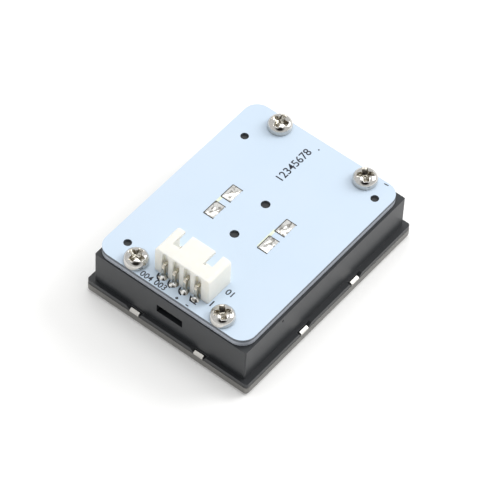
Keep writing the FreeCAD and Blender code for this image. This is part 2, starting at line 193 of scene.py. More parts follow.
def bevelled(name, node, width, segments=2):
    """A copy of a CAD node's mesh with its loose triangles merged, flat areas made whole again and
    every sharp edge rounded to this many millimetres. It stands for the node."""
    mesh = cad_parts[node].data.copy()
    mesh.name = name
    work = bmesh.new()
    work.from_mesh(mesh)
    bmesh.ops.remove_doubles(work, verts=work.verts, dist=MERGE)
    bmesh.ops.dissolve_limit(work, angle_limit=FLAT, verts=work.verts, edges=work.edges)
    bmesh.ops.recalc_face_normals(work, faces=work.faces)
    work.to_mesh(mesh)
    work.free()
    mesh.materials.clear()
    mesh.shade_smooth()
    piece = bpy.data.objects.new(name, mesh)
    bpy.context.scene.collection.objects.link(piece)
    bevel = piece.modifiers.new("edge_round", "BEVEL")
    bevel.width = width * MM
    bevel.segments = segments
    bevel.limit_method = "ANGLE"
    bevel.angle_limit = SHARP
    bevel.use_clamp_overlap = True
    flat = piece.modifiers.new("flat_faces", "WEIGHTED_NORMAL")
    flat.weight = 100
    flat.keep_sharp = False
    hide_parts(node)
    return piece


# black ABS off a spark-eroded tool: grain of about 0.15 mm that softens every reflection
black_abs, tree, shader, place = new_material("black_abs", IOR=1.53, Specular_IOR_Level=0.5)
grit = add_node(tree, "TexNoise", {"Vector": place, "Scale": per_mm(0.15), "Detail": 4.0})
flow = add_node(tree, "TexNoise", {"Vector": place, "Scale": per_mm(9.0), "Detail": 2.0})
tone = add_node(tree, "Mix", {"Factor": flow.outputs["Fac"], "A": linear("#26282b"),
                              "B": linear("#2b2e31")}, data_type="RGBA")
satin = add_node(tree, "MapRange", {"Value": grit.outputs["Fac"], "To Min": 0.32, "To Max": 0.46})
pits = add_node(tree, "Bump", {"Height": grit.outputs["Fac"], "Strength": 0.25,
                               "Distance": 0.01 * MM})
tree.links.new(tone.outputs["Result"], shader.inputs["Base Color"])
tree.links.new(satin.outputs["Result"], shader.inputs["Roughness"])
tree.links.new(pits.outputs["Normal"], shader.inputs["Normal"])

housing = bevelled("housing_shell", "housing", 0.10)
housing.data.materials.append(black_abs)
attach(housing, "case")

# --- Front bezel -------------------------------------------------------------------------------
# A pan pressed from 0.4 mm stainless strip. It is dropped over the housing's front, and eight tabs
# are crimped into the flange's notches to hold it.

# stainless strip, satin rolled: fine lines of about 0.06 mm run along the sheet and drag the
# highlights sideways; handling leaves faint cloudy patches; the tabs get a painted highlight tone
PAINTED_HIGHLIGHT_LOW, PAINTED_HIGHLIGHT_HIGH = 2.05, 2.2
bezel_steel, tree, shader, place = new_material("satin_stainless", Metallic=1.0)
along = add_node(tree, "Mapping", {"Vector": place, "Scale": (0.03, 1.0, 1.0)})
lines = add_node(tree, "TexNoise", {"Vector": along.outputs["Vector"], "Scale": per_mm(0.06),
                                    "Detail": 3.0})
cloud = add_node(tree, "TexNoise", {"Vector": place, "Scale": per_mm(4.0), "Detail": 3.0})
rolled = add_node(tree, "Mix", {"Factor": cloud.outputs["Fac"], "A": linear("#757471"),
                                "B": linear("#8b8986")}, data_type="RGBA")
height = add_node(tree, "SeparateXYZ", {"Vector": place})
# painted highlight: above this height the tab faces turn a near-white tone
tab_highlight = add_node(tree, "MapRange", {"Value": height.outputs["Z"], "From Min": PAINTED_HIGHLIGHT_LOW * MM,
                                      "From Max": PAINTED_HIGHLIGHT_HIGH * MM})
tone = add_node(tree, "Mix", {"Factor": tab_highlight.outputs["Result"], "A": rolled.outputs["Result"],
                              "B": linear("#d4d2cd")}, data_type="RGBA")
satin = add_node(tree, "MapRange", {"Value": lines.outputs["Fac"], "To Min": 0.26, "To Max": 0.42})
scratch = add_node(tree, "Bump", {"Height": lines.outputs["Fac"], "Strength": 0.2,
                                  "Distance": 0.004 * MM})
tree.links.new(tone.outputs["Result"], shader.inputs["Base Color"])
tree.links.new(satin.outputs["Result"], shader.inputs["Roughness"])
tree.links.new(scratch.outputs["Normal"], shader.inputs["Normal"])

bezel = bevelled("bezel_pan", "front_bezel", 0.06)
bezel.data.materials.append(bezel_steel)
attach(bezel, "case")

# --- Key: light frame, tape and face plate -----------------------------------------------------
# The light frame is milky polycarbonate that glows round the key. A brushed stainless plate is
# stuck into it with foam tape.


def dress(material, *nodes):
    """Give CAD nodes, whose shape is right as it is, a material of their own."""
    for node in nodes:
        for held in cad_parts[node].material_slots:
            held.material = material


# opal polycarbonate: light goes a little way in, so it has no hard shade; flow lines from the gate
opal, tree, shader, place = new_material("opal_polycarbonate", IOR=1.58, Roughness=0.28,
                                         Subsurface_Weight=0.35, Subsurface_Scale=0.6 * MM,
                                         Subsurface_Radius=(1.0, 1.0, 0.95))
flow = add_node(tree, "TexNoise", {"Vector": place, "Scale": per_mm(6.0), "Detail": 4.0,
                                   "Distortion": 1.2})
tone = add_node(tree, "Mix", {"Factor": flow.outputs["Fac"], "A": linear("#e6e9e9"),
                              "B": linear("#f1f3f2")}, data_type="RGBA")
ripple = add_node(tree, "Bump", {"Height": flow.outputs["Fac"], "Strength": 0.1,
                                 "Distance": 0.02 * MM})
tree.links.new(tone.outputs["Result"], shader.inputs["Base Color"])
tree.links.new(ripple.outputs["Normal"], shader.inputs["Normal"])

light_frame = bevelled("light_frame_moulding", "light_frame", 0.08)
light_frame.data.materials.append(opal)
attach(light_frame, "key")

# long-grain brushed stainless: belt lines of about 0.08 mm along the key's length
brushed, tree, shader, place = new_material("brushed_stainless", Metallic=1.0, Anisotropic=0.5)
along = add_node(tree, "Mapping", {"Vector": place, "Scale": (0.012, 1.0, 1.0)})
lines = add_node(tree, "TexNoise", {"Vector": along.outputs["Vector"], "Scale": per_mm(0.08),
                                    "Detail": 5.0})
tone = add_node(tree, "Mix", {"Factor": lines.outputs["Fac"], "A": linear("#b3b2ae"),
                              "B": linear("#d2d1cd")}, data_type="RGBA")
satin = add_node(tree, "MapRange", {"Value": lines.outputs["Fac"], "To Min": 0.2, "To Max": 0.38})
scratch = add_node(tree, "Bump", {"Height": lines.outputs["Fac"], "Strength": 0.3,
                                  "Distance": 0.004 * MM})
tree.links.new(tone.outputs["Result"], shader.inputs["Base Color"])
tree.links.new(satin.outputs["Result"], shader.inputs["Roughness"])
tree.links.new(scratch.outputs["Normal"], shader.inputs["Normal"])
dress(brushed, "key_face_plate")

# acrylic foam tape: closed cells of about 0.1 mm make a dead, grainy black
foam, tree, shader, place = new_material("acrylic_foam", Roughness=0.9, Specular_IOR_Level=0.2)
cells = add_node(tree, "TexVoronoi", {"Vector": place, "Scale": per_mm(0.1)})
tone = add_node(tree, "Mix", {"Factor": cells.outputs["Distance"], "A": linear("#161617"),
                              "B": linear("#2b2b2d")}, data_type="RGBA")
cups = add_node(tree, "Bump", {"Height": cells.outputs["Distance"], "Strength": 0.4,
                               "Distance": 0.02 * MM})
tree.links.new(tone.outputs["Result"], shader.inputs["Base Color"])
tree.links.new(cups.outputs["Normal"], shader.inputs["Normal"])
dress(foam, "key_tape")

# --- Return springs ----------------------------------------------------------------------------
# Four cold-wound springs of 0.36 mm wire stand between the key and the board. Their end coils are
# closed and ground flat.


def skin(name, shells, material, crease=40):
    """A closed skin over rings of points. Each shell is an array (ring, point, 3) in millimetres:
    every ring closes on itself and joins the next with four-sided faces, and the first and last
    are closed by a fan about their middle. Edges sharper than crease degrees stay sharp."""
    points, faces, base = [], [], 0
    for rings in shells:
        count, around = rings.shape[:2]
        row = base + np.arange(count - 1)[:, None] * around
        here = np.arange(around)
        after = (here + 1) % around
        quads = np.stack([row + here, row + after, row + around + after, row + around + here], -1)
        total = count * around
        last = base + total - around
        fan_in = np.stack([base + after, base + here, np.full(around, base + total)], -1)
        fan_out = np.stack([last + here, last + after, np.full(around, base + total + 1)], -1)
        points.append(np.vstack([rings.reshape(-1, 3), rings[0].mean(0), rings[-1].mean(0)]))
        faces += quads.reshape(-1, 4).tolist() + fan_in.tolist() + fan_out.tolist()
        base += total + 2
    mesh = bpy.data.meshes.new(name)
    mesh.from_pydata((np.vstack(points) * MM).tolist(), [], faces)
    work = bmesh.new()
    work.from_mesh(mesh)
    bmesh.ops.recalc_face_normals(work, faces=work.faces)
    work.to_mesh(mesh)
    work.free()
    mesh.shade_smooth()
    mesh.set_sharp_from_angle(angle=math.radians(crease))
    mesh.materials.append(material)
    piece = bpy.data.objects.new(name, mesh)
    bpy.context.scene.collection.objects.link(piece)
    return piece


def smooth_step(value):
    """0 below 0, 1 above 1, and the curve 3t^2 - 2t^3 between them."""
    t = np.clip(value, 0, 1)
    return t * t * (3 - 2 * t)


WIRE_RADIUS = 0.18
COILS = 5.0
END_TURNS = 0.6
END_RISE = 0.06
low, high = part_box("return_spring_1")
spring_low, spring_high = low.z / MM, high.z / MM
spring_radius = (high.x - low.x) / MM / 2 - WIRE_RADIUS


def coil(x, y):
    """Round wire carried along a helix. It rises evenly between the end coils, which lie nearly
    flat, and its height is cut off at the ground end planes."""
    turns = np.linspace(0, 1, 361)
    angle = 2 * np.pi * COILS * turns
    rise = np.clip((turns * COILS - END_TURNS) / (COILS - 2 * END_TURNS), 0, 1)
    rise = (1 - END_RISE) * rise + END_RISE * turns
    middle = np.stack([x + spring_radius * np.cos(angle), y + spring_radius * np.sin(angle),
                       spring_low + 0.5 * WIRE_RADIUS
                       + (spring_high - spring_low - WIRE_RADIUS) * rise], -1)
    outward = np.stack([np.cos(angle), np.sin(angle), 0 * angle], -1)
    section = np.linspace(0, 2 * np.pi, 10, endpoint=False)
    rings = middle[:, None] + WIRE_RADIUS * (np.cos(section)[:, None] * outward[:, None]
                                      + np.sin(section)[:, None] * np.array([0, 0, 1.0]))
    rings[..., 2] = np.clip(rings[..., 2], spring_low, spring_high)
    return rings


# bright drawn spring wire: die lines too fine to see make it gleam softly, with a straw tint
spring_wire, tree, shader, place = new_material("drawn_spring_wire", Metallic=1.0)
drawn = add_node(tree, "TexNoise", {"Vector": place, "Scale": per_mm(0.12), "Detail": 2.0})
tone = add_node(tree, "Mix", {"Factor": drawn.outputs["Fac"], "A": linear("#8d8a84"),
                              "B": linear("#bdb9b0")}, data_type="RGBA")
satin = add_node(tree, "MapRange", {"Value": drawn.outputs["Fac"], "To Min": 0.18, "To Max": 0.36})
tree.links.new(tone.outputs["Result"], shader.inputs["Base Color"])
tree.links.new(satin.outputs["Result"], shader.inputs["Roughness"])

for number in range(1, 5):
    node = "return_spring_%d" % number
    low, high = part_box(node)
    middle = (low + high) / 2 / MM
    spring = skin("spring_coil_%d" % number, [coil(middle.x, middle.y)], spring_wire)
    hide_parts(node)
    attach(spring, "case")
    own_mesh(spring)

# --- Circuit board -----------------------------------------------------------------------------
# Glass-epoxy laminate, 1.6 mm thick, under a pale blue solder mask. Its outline is routed, so the
# edge shows the bare cut laminate between the two films of mask.

low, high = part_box("circuit_board")
board_front, board_back = low.z / MM, high.z / MM
board_middle = (low + high) / 2 / MM
BAND_LOW, BAND_HIGH = 0.75, 0.55

# pale gloss solder mask on the faces, with the glass weave of 0.5 mm just telegraphing through;
# the cut edge is grey laminate, with a darker band along its back where the router rubbed it
board_look, tree, shader, place = new_material("masked_laminate", IOR=1.5, Coat_Weight=0.35,
                                               Coat_Roughness=0.12)
facing = add_node(tree, "SeparateXYZ", {"Vector": add_node(tree, "NewGeometry").outputs["Normal"]})
face_part = add_node(tree, "Math", {0: facing.outputs["Z"]}, operation="ABSOLUTE")
on_face = add_node(tree, "Math", {0: face_part.outputs["Value"], 1: 0.5}, operation="GREATER_THAN")
cloud = add_node(tree, "TexNoise", {"Vector": place, "Scale": per_mm(12.0), "Detail": 2.0})
mask_tone = add_node(tree, "Mix", {"Factor": cloud.outputs["Fac"], "A": linear("#c9dbec"),
                                   "B": linear("#cfdeee")}, data_type="RGBA")
height = add_node(tree, "SeparateXYZ", {"Vector": place})
rubbed = add_node(tree, "MapRange", {"Value": height.outputs["Z"],
                                     "From Min": (board_back - BAND_LOW) * MM,
                                     "From Max": (board_back - BAND_HIGH) * MM})
plies = add_node(tree, "TexNoise", {"Vector": place, "Scale": per_mm(0.3), "Detail": 3.0})
cut_tone = add_node(tree, "Mix", {"Factor": plies.outputs["Fac"], "A": linear("#8e949d"),
                                  "B": linear("#b9bec7")}, data_type="RGBA")
edge_tone = add_node(tree, "Mix", {"Factor": rubbed.outputs["Result"],
                                   "A": cut_tone.outputs["Result"],
                                   "B": linear("#5d636b")}, data_type="RGBA")
tone = add_node(tree, "Mix", {"Factor": on_face.outputs["Value"], "A": edge_tone.outputs["Result"],
                              "B": mask_tone.outputs["Result"]}, data_type="RGBA")
satin = add_node(tree, "MapRange", {"Value": on_face.outputs["Value"], "To Min": 0.75,
                                    "To Max": 0.38})
weave = add_node(tree, "TexChecker", {"Vector": place, "Scale": per_mm(0.5)})
cloth = add_node(tree, "Bump", {"Height": weave.outputs["Fac"], "Strength": 0.04,
                                "Distance": 0.003 * MM})
tree.links.new(tone.outputs["Result"], shader.inputs["Base Color"])
tree.links.new(satin.outputs["Result"], shader.inputs["Roughness"])
tree.links.new(cloth.outputs["Normal"], shader.inputs["Normal"])
board_body = bevelled("board_laminate", "circuit_board", 0.05, 1)
board_body.data.materials.append(board_look)
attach(board_body, "case")

# --- Board legend ------------------------------------------------------------------------------
# Dark epoxy ink, screen-printed on the mask in strokes about 0.2 mm wide: numbers, polarity signs,
# and an arc or a corner round each pin. The ink stands 0.02 mm proud.

INK = 0.02
PEN = 0.22


def slab(outline, low_z, high_z):
    """A flat shell: a closed outline (point, 2) lifted between two levels."""
    levels = np.array([low_z, high_z])
    flat = np.broadcast_to(outline, (2,) + outline.shape)
    return np.concatenate([flat, np.broadcast_to(levels[:, None, None], flat.shape[:2] + (1,))], -1)


def stroke(points, width):
    """The outline of a pen stroke: the line's points moved half the width to one side, then back
    along the other side, with each side at right angles to the line's direction."""
    path = np.array(points, float)
    way = np.gradient(path, axis=0)
    way /= np.linalg.norm(way, axis=1)[:, None]
    side = np.stack([-way[:, 1], way[:, 0]], -1) * width / 2
    return np.vstack([path + side, (path - side)[::-1]])


def arc(x, y, radius, start, end, count=24):
    """Points on a circle from one angle to another, in degrees."""
    angle = np.radians(np.linspace(start, end, count))
    return np.stack([x + radius * np.cos(angle), y + radius * np.sin(angle)], -1)


# epoxy legend ink: a flat blue-black with slightly starved, uneven edges
ink, tree, shader, place = new_material("epoxy_legend_ink", Roughness=0.6)
starve = add_node(tree, "TexNoise", {"Vector": place, "Scale": per_mm(0.25), "Detail": 3.0})
tone = add_node(tree, "Mix", {"Factor": starve.outputs["Fac"], "A": linear("#10141f"),
                              "B": linear("#2c3242")}, data_type="RGBA")
tree.links.new(tone.outputs["Result"], shader.inputs["Base Color"])


def lettering(name, text, x, y, size, turn, weight, material):
    """A line of numbers, centred at a place on the board's back and turned by an angle in degrees;
    weight is how far the outline is pushed out, as a share of the size.
    The letters are made a mesh first, and that mesh is turned and moved into place."""
    curve = bpy.data.curves.new(name, "FONT")
    curve.body = text
    curve.size = 1.0
    curve.align_x = "CENTER"
    curve.align_y = "CENTER"
    curve.extrude = INK / 2 / size
    curve.offset = weight
    made = bpy.data.objects.new(name + "_letters", curve)
    bpy.context.scene.collection.objects.link(made)
    bpy.context.view_layer.update()
    graph = bpy.context.evaluated_depsgraph_get()
    mesh = bpy.data.meshes.new_from_object(made.evaluated_get(graph))
    bpy.data.objects.remove(made)
    bpy.data.curves.remove(curve)
    place = Matrix.Translation(Vector((x, y, board_back + INK / 2)) * MM)
    mesh.transform(place @ Matrix.Rotation(math.radians(turn), 4, "Z") @ Matrix.Scale(size * MM, 4))
    mesh.materials.clear()
    mesh.materials.append(material)
    piece = bpy.data.objects.new(name, mesh)
    bpy.context.scene.collection.objects.link(piece)
    return piece


legends = [("legend_board_number", "12345678", 15.05, 1.8, 2.35, 0, 0.007),
           ("legend_pin_4", "004", -22.2, 5.9, 1.75, -90, 0.012),
           ("legend_pin_3", "003", -22.2, 2.7, 1.75, -90, 0.012),
           ("legend_connector", "01", -15.6, -8.0, 1.85, -90, 0.012),
           ("legend_pin_1", "1", -19.5, -6.9, 1.9, -90, 0.02)]
for name, text, x, y, size, turn, weight in legends:
    legend = lettering(name, text, board_middle.x + x, board_middle.y + y, size, turn, weight, ink)
    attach(legend, "case")

pins = [(low + high) / 2 / MM for low, high in (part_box("header_pin_%d" % i) for i in range(1, 5))]
PIN_HALF = 0.32
PIN_ARC = 1.15
pin_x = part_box("header_pin_1")[0].x / MM + PIN_HALF
pin_corner = [(pin_x - 0.1, pins[3].y + 1.1), (pin_x - 1.1, pins[3].y + 0.6),
              (pin_x - 1.1, pins[3].y - 0.9)]
strokes = [arc(pin_x, pin.y, PIN_ARC, 80, 180) for pin in pins[:3]] + [pin_corner]
signs = [[(-22.5, -1.05), (-22.5, -1.65)], [(-22.2, -1.35), (-22.8, -1.35)],
         [(-22.6, -3.45), (-22.6, -4.05)], [(22.4, -13.5), (22.5, -14.4)]]
strokes += [np.array(sign) + (0, board_middle.y) for sign in signs]
shells = [slab(stroke(line, PEN), board_back, board_back + INK) for line in strokes]
dot = arc(20.97, board_middle.y + 0.58, 0.16, 0, 345)
shells.append(slab(dot, board_back, board_back + INK))
marks = skin("legend_marks", shells, ink)
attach(marks, "case")

# --- Header ------------------------------------------------------------------------------------
# A four-way side-entry header: a natural nylon shroud with two key slots in its top, and four
# tin-plated square pins that bend down through the board behind it.

# natural nylon 66: ivory, slightly waxy, light bleeds through its thin walls
nylon, tree, shader, place = new_material("natural_nylon", IOR=1.53, Roughness=0.42,
                                          Subsurface_Weight=0.6, Subsurface_Scale=0.9 * MM,
                                          Subsurface_Radius=(1.0, 0.95, 0.85))
haze = add_node(tree, "TexNoise", {"Vector": place, "Scale": per_mm(1.2), "Detail": 4.0})
tone = add_node(tree, "Mix", {"Factor": haze.outputs["Fac"], "A": linear("#e9e8e0"),
                              "B": linear("#f2f1ea")}, data_type="RGBA")
skin_grain = add_node(tree, "Bump", {"Height": haze.outputs["Fac"], "Strength": 0.1,
                                     "Distance": 0.02 * MM})
tree.links.new(tone.outputs["Result"], shader.inputs["Base Color"])
tree.links.new(skin_grain.outputs["Normal"], shader.inputs["Normal"])

header = bevelled("header_shroud", "header_housing", 0.2, 3)
header.data.materials.append(nylon)
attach(header, "case")

# bright tin over brass: soft, slightly dented plating with a warm cast
tinned, tree, shader, place = new_material("tinned_brass", Metallic=1.0)
dents = add_node(tree, "TexNoise", {"Vector": place, "Scale": per_mm(0.4), "Detail": 3.0})
tone = add_node(tree, "Mix", {"Factor": dents.outputs["Fac"], "A": linear("#b8b2a4"),
                              "B": linear("#dcd8cc")}, data_type="RGBA")
satin = add_node(tree, "MapRange", {"Value": dents.outputs["Fac"], "To Min": 0.14, "To Max": 0.32})
press_marks = add_node(tree, "Bump", {"Height": dents.outputs["Fac"], "Strength": 0.2,
                                      "Distance": 0.01 * MM})
tree.links.new(tone.outputs["Result"], shader.inputs["Base Color"])
tree.links.new(satin.outputs["Result"], shader.inputs["Roughness"])
tree.links.new(press_marks.outputs["Normal"], shader.inputs["Normal"])

BEND = 0.45
END_RUN, END_TAPER = 0.2, 0.6


def squared(angle, power):
    """How far a superellipse of unit half-width reaches in a direction: the sum of the cosine's and
    the sine's powers, to minus one over the power."""
    return (np.abs(np.cos(angle)) ** power + np.abs(np.sin(angle)) ** power) ** (-1 / power)


def square_pin(node):
    """A square wire carried along a level run, a quarter turn and a straight tail. The section is
    a superellipse of power 8, so its corners are slightly round, and both ends taper."""
    low, high = [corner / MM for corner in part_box(node)]
    y = (low.y + high.y) / 2
    level = high.z - PIN_HALF
    tail_x = low.x + PIN_HALF
    turn = np.radians(np.linspace(90, 180, 13))
    run = np.array([high.x, high.x - END_RUN, (high.x + tail_x) / 2])
    fall = np.array([(level + low.z) / 2, low.z + END_RUN, low.z])
    x = np.concatenate([run, tail_x + BEND + BEND * np.cos(turn), tail_x + 0 * fall])
    z = np.concatenate([level + 0 * run, level - BEND + BEND * np.sin(turn), fall])
    way = np.concatenate([0 * run, turn - np.pi / 2, np.pi / 2 + 0 * fall])
    taper = np.ones(len(x))
    taper[[0, -1]] = END_TAPER
    angle = np.linspace(0, 2 * np.pi, 32, endpoint=False)
    reach = squared(angle, 8) * PIN_HALF
    across, beside = reach * np.cos(angle), reach * np.sin(angle)
    out_x, out_z = -np.sin(way), np.cos(way)
    return np.stack([x[:, None] + taper[:, None] * out_x[:, None] * across,
                     y + taper[:, None] * beside * np.ones(len(x))[:, None],
                     z[:, None] + taper[:, None] * out_z[:, None] * across], -1)


for number in range(1, 5):
    node = "header_pin_%d" % number
    pin = skin("bent_pin_%d" % number, [square_pin(node)], tinned)
    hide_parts(node)
    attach(pin, "case")

# --- Header solder -----------------------------------------------------------------------------
# Each pin is hand-soldered: tin climbs the square wire in a hollow cone that spreads over a round
# pad on the board's back, and a smaller one stands on its front.

# bright tin solder: a liquid-smooth skin with shallow cold ripples of about 0.7 mm
solder, tree, shader, place = new_material("bright_solder", Metallic=1.0)
ripples = add_node(tree, "TexNoise", {"Vector": place, "Scale": per_mm(0.7), "Detail": 2.0,
                                      "Distortion": 0.8})
pooled = add_node(tree, "MapRange", {"Value": ripples.outputs["Fac"], "From Min": 0.38,
                                     "From Max": 0.55})
tone = add_node(tree, "Mix", {"Factor": pooled.outputs["Result"], "A": linear("#96938d"),
                              "B": linear("#f3f2ee")}, data_type="RGBA")
satin = add_node(tree, "MapRange", {"Value": ripples.outputs["Fac"], "To Min": 0.3, "To Max": 0.14})
skin_ripple = add_node(tree, "Bump", {"Height": ripples.outputs["Fac"], "Strength": 0.35,
                                      "Distance": 0.05 * MM})
tree.links.new(tone.outputs["Result"], shader.inputs["Base Color"])
tree.links.new(satin.outputs["Result"], shader.inputs["Roughness"])
tree.links.new(skin_ripple.outputs["Normal"], shader.inputs["Normal"])


CONE_TOP = PIN_HALF * 1.05
BACK_SPREAD, BACK_CLIMB = 0.8, 0.95
FRONT_SPREAD, FRONT_CLIMB = 0.75, 0.7
HEEL = 0.22
CONE_POWER = 2.2


def solder_cone(x, y, base, way, spread, climb, seed):
    """A hollow cone: its radius falls from the pad's to the pin's as a power, a little over two, of
    one minus the height. It spreads further away from the shroud, and slow waves round it, from
    the seed, make each one different."""
    rng = np.random.default_rng(seed)
    up_wire = np.linspace(0, 1, 14)[:, None]
    angle = np.linspace(0, 2 * np.pi, 40, endpoint=False)
    lobe = (1 + 0.06 * np.sin(2 * angle + rng.uniform(0, 6))
            + 0.05 * np.sin(3 * angle + rng.uniform(0, 6)))
    foot = spread * lobe * (1 + HEEL * np.clip(-np.cos(angle), 0, 1))
    radius = CONE_TOP + (foot - CONE_TOP) * (1 - up_wire) ** CONE_POWER
    height = base + way * climb * up_wire + 0 * radius
    return np.stack([x + radius * np.cos(angle), y + radius * np.sin(angle), height], -1)


shells = []
for number, pin in enumerate(pins):
    shells.append(solder_cone(pin_x, pin.y, board_back, 1, BACK_SPREAD, BACK_CLIMB, number))
    shells.append(solder_cone(pin_x, pin.y, board_front, -1, FRONT_SPREAD, FRONT_CLIMB,
                              10 + number))
pin_solder = skin("pin_solder_cones", shells, solder)
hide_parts("header_solder")
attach(pin_solder, "case")

# --- Switch solder pads ------------------------------------------------------------------------
# The tactile switch's four flat terminals come through the board and are soldered on large
# rectangular pads. The tin lies in a low uneven pool round each clipped terminal.

STUB_LENGTH, STUB_WIDTH, STUB_RISE = 0.42, 0.28, 0.9
RIM_FALL, RIM_SHARE = 0.5, 0.35
POOL_LEAST, POOL_MOST = 0.12, 2.0


def solder_pool(x, y, half_x, half_y, rise, seed):
    """A low pool in rings from its middle out. The outline is a superellipse of power 16. The
    height falls smoothly to the rim, with waves and a lump, a bell curve, where the terminal was
    clipped."""
    rng = np.random.default_rng(seed)
    angle = np.linspace(0, 2 * np.pi, 72, endpoint=False)
    reach = squared(angle, 16)
    share = np.concatenate([np.linspace(0.04, 0.9, 22), [0.94, 0.97, 0.99, 1.0, 1.0]])[:, None]
    across = share * reach * np.cos(angle)
    along = share * reach * np.sin(angle)
    shift = rng.uniform(0, 6, 4)
    waves = 0.30 * np.sin(3.1 * across + shift[0]) * np.cos(2.7 * along + shift[1])
    waves = waves + 0.16 * np.sin(5.7 * across + shift[2]) * np.cos(5.2 * along + shift[3])
    spot = rng.uniform(-0.25, 0.25, 2)
    lump = STUB_RISE * np.exp(-(((across - spot[0]) * half_x / STUB_LENGTH) ** 2
                                + ((along - spot[1]) * half_y / STUB_WIDTH) ** 2))
    body = RIM_SHARE + (1 - RIM_SHARE) * smooth_step((1 - share) / RIM_FALL)
    height = board_back + rise * np.clip(body * (0.75 + waves) + lump, POOL_LEAST, POOL_MOST)
    height[-1] = board_back
    return np.stack([x + half_x * across, y + half_y * along, height], -1)


PAD_LENGTH, PAD_WIDTH = 3.35, 2.1
POOL_RISE = 0.2
pad_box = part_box("switch_solder")
pad_low, pad_high = pad_box[0] / MM, pad_box[1] / MM
pad_places = [(x, y) for x in (pad_low.x + PAD_LENGTH / 2, pad_high.x - PAD_LENGTH / 2)
              for y in (pad_low.y + PAD_WIDTH / 2, pad_high.y - PAD_WIDTH / 2)]
shells = [solder_pool(x, y, PAD_LENGTH / 2, PAD_WIDTH / 2, POOL_RISE, 20 + i)
          for i, (x, y) in enumerate(pad_places)]
pools = skin("switch_solder_pools", shells, solder)
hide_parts("switch_solder")
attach(pools, "case")

# painted shade: dark strips along three sides of each pad stand for the shade of the mask's edge
pad_edge_shade, tree, shader, place = new_material("painted_pad_edge_shade", Roughness=0.35)
pad_shade_grain = add_node(tree, "TexNoise", {"Vector": place, "Scale": per_mm(0.3), "Detail": 3.0})
tone = add_node(tree, "Mix", {"Factor": pad_shade_grain.outputs["Fac"], "A": linear("#262524"),
                              "B": linear("#5d5953")}, data_type="RGBA")
tree.links.new(tone.outputs["Result"], shader.inputs["Base Color"])
EDGE = 0.2
shells = []
for x, y in pad_places:
    half_x, half_y = PAD_LENGTH / 2 + EDGE / 2, PAD_WIDTH / 2 + EDGE / 2
    sides = [[(x - half_x, y + half_y), (x, y + half_y), (x + half_x, y + half_y)],
             [(x - half_x, y + half_y), (x - half_x, y - half_y)],
             [(x + half_x, y + half_y), (x + half_x, y - half_y)]]
    shells += [slab(stroke(side, EDGE), board_back, board_back + INK) for side in sides]
pad_edge_shade_lines = skin("painted_pad_edge_shade_lines", shells, pad_edge_shade)
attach(pad_edge_shade_lines, "case")

# where the mask stops short of a pad the bare laminate shows, a greenish cream with 0.5 mm weave
laminate, tree, shader, place = new_material("bare_laminate", Roughness=0.6)
weave = add_node(tree, "TexChecker", {"Vector": place, "Scale": per_mm(0.5),
                                      "Color1": linear("#dfe8cf"), "Color2": linear("#e9efdb")})
tree.links.new(weave.outputs["Color"], shader.inputs["Base Color"])
shells = []
STRIP_HALF = 0.3
for x_low, x_high, y in ((-1.1, 1.1, 7.2), (-4.0, 1.0, -5.05)):
    corner_list = [(x_low, y - STRIP_HALF), (x_high, y - STRIP_HALF),
                   (x_high, y + STRIP_HALF), (x_low, y + STRIP_HALF)]
    shells.append(slab(np.array(corner_list) + (0, board_middle.y), board_back,
                       board_back + 0.5 * INK))
bare = skin("bare_laminate_strips", shells, laminate)
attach(bare, "case")

# --- Tactile switch ----------------------------------------------------------------------------
# A 12 mm tactile switch under the board: black glass-filled base, stainless cover, round stem, and
# a snap dome.

# glass-filled nylon: dull black with pale fibres about 0.2 mm long at the surface
filled_nylon, tree, shader, place = new_material("glass_filled_nylon", IOR=1.53)
fibres = add_node(tree, "TexNoise", {"Vector": place, "Scale": per_mm(0.2), "Detail": 5.0})
tone = add_node(tree, "Mix", {"Factor": fibres.outputs["Fac"], "A": linear("#1d1e20"),
                              "B": linear("#36383b")}, data_type="RGBA")
satin = add_node(tree, "MapRange", {"Value": fibres.outputs["Fac"], "To Min": 0.4, "To Max": 0.65})
tree.links.new(tone.outputs["Result"], shader.inputs["Base Color"])
tree.links.new(satin.outputs["Result"], shader.inputs["Roughness"])
dress(filled_nylon, "switch_base", "switch_stem")
dress(brushed, "switch_cover")
dress(tinned, *["switch_terminal_%d" % i for i in range(1, 5)])

DOME_SHEET = 0.12
DOME_START = 0.1
low, high = [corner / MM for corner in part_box("switch_dome")]
dome_rim, dome_rise = (high.x - low.x) / 2, high.z - low.z


def snap_dome():
    """A cap of a thin sphere with its rim against the board side and its pole towards the stem:
    out over the pressed face, whose height is the ball's radius less the root of its square less
    the distance squared, and back over the inner one."""
    ball = (dome_rim ** 2 + dome_rise ** 2) / (2 * dome_rise)
    inner = ball - DOME_SHEET
    inner_rim = math.sqrt(inner ** 2 - (ball - dome_rise) ** 2)
    out = np.linspace(DOME_START, dome_rim, 24)
    home = np.linspace(inner_rim, DOME_START, 24)
    r = np.concatenate([out, home])[:, None]
    sag = np.concatenate([np.sqrt(ball ** 2 - out ** 2), np.sqrt(inner ** 2 - home ** 2)])[:, None]
    angle = np.linspace(0, 2 * np.pi, 64, endpoint=False)
    x, y = (low.x + high.x) / 2, (low.y + high.y) / 2
    z = low.z + ball - sag + 0 * angle
    return np.stack([x + r * np.cos(angle), y + r * np.sin(angle), z], -1)


# the dome is stamped from the same bright spring steel as the springs
dome = skin("snap_dome", [snap_dome()], spring_wire)
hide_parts("switch_dome")
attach(dome, "case")
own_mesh(dome)

# --- Light-emitting diodes and resistors -------------------------------------------------------
# Four white surface-mount diodes light the frame from behind, each a white polyamide cup filled
# with yellow phosphor. Two chip resistors set their current.

